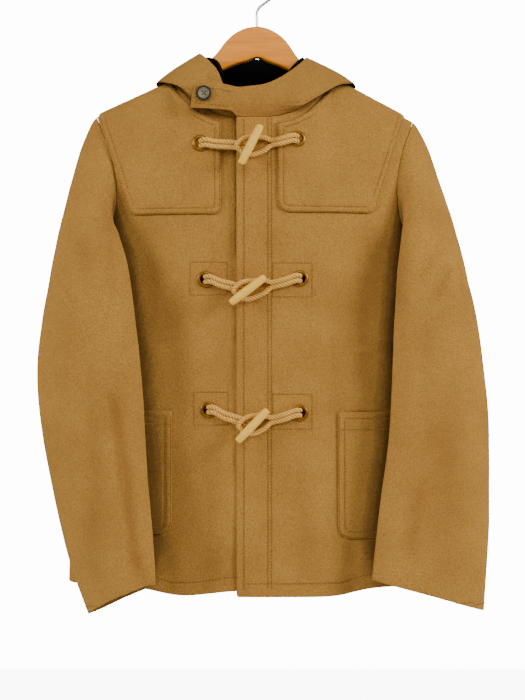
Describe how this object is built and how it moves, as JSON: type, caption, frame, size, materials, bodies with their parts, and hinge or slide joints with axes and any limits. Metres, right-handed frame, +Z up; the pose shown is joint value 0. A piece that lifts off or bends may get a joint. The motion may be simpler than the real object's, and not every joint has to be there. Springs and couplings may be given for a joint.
{
  "type": "duffle coat on a wooden coat hanger",
  "caption": "Short camel wool duffle coat with a hood, throat tab, shoulder yokes, patch pockets and rope-and-toggle fastenings, hanging on a wooden hanger with a wire hook.",
  "frame": {"origin": "inside top of the hanger hook's arc, where the rail carries it", "axes": "+Z up, +X to the viewer's right (the wearer's left), the coat's front faces -Y; millimetres in the source, metres in the row"},
  "size_m": [0.6218, 0.2229, 0.8664],
  "materials": {
    "melton": "camel melton wool, matt",
    "lining": "black lining, faint sheen",
    "horn": "dark horn-look resin, polished",
    "rope": "twisted jute cord",
    "toggle_wood": "pale turned wood, satin",
    "brass": "aged brass eyelets",
    "varnished_wood": "yellow varnished wood, gloss",
    "chrome": "plated steel wire, polished"
  },
  "bodies": {
    "root": {"back": "melton", "front_left": "melton", "front_right": "melton", "yoke_left": "melton", "yoke_right": "melton", "pocket_left": "melton", "pocket_right": "melton", "sleeve_left": "melton", "sleeve_right": "melton", "hood_left": "melton", "hood_right": "melton", "neck_lining": "lining", "tab_button": "horn", "holder_1": "rope", "loop_1": "rope", "toggle_1": "toggle_wood", "grommet_right_1": "brass", "grommet_left_1": "brass", "holder_2": "rope", "loop_2": "rope", "toggle_2": "toggle_wood", "grommet_right_2": "brass", "grommet_left_2": "brass", "holder_3": "rope", "loop_3": "rope", "toggle_3": "toggle_wood", "grommet_right_3": "brass", "grommet_left_3": "brass", "hanger": "varnished_wood", "hook": "chrome"}
  },
  "joints": []
}
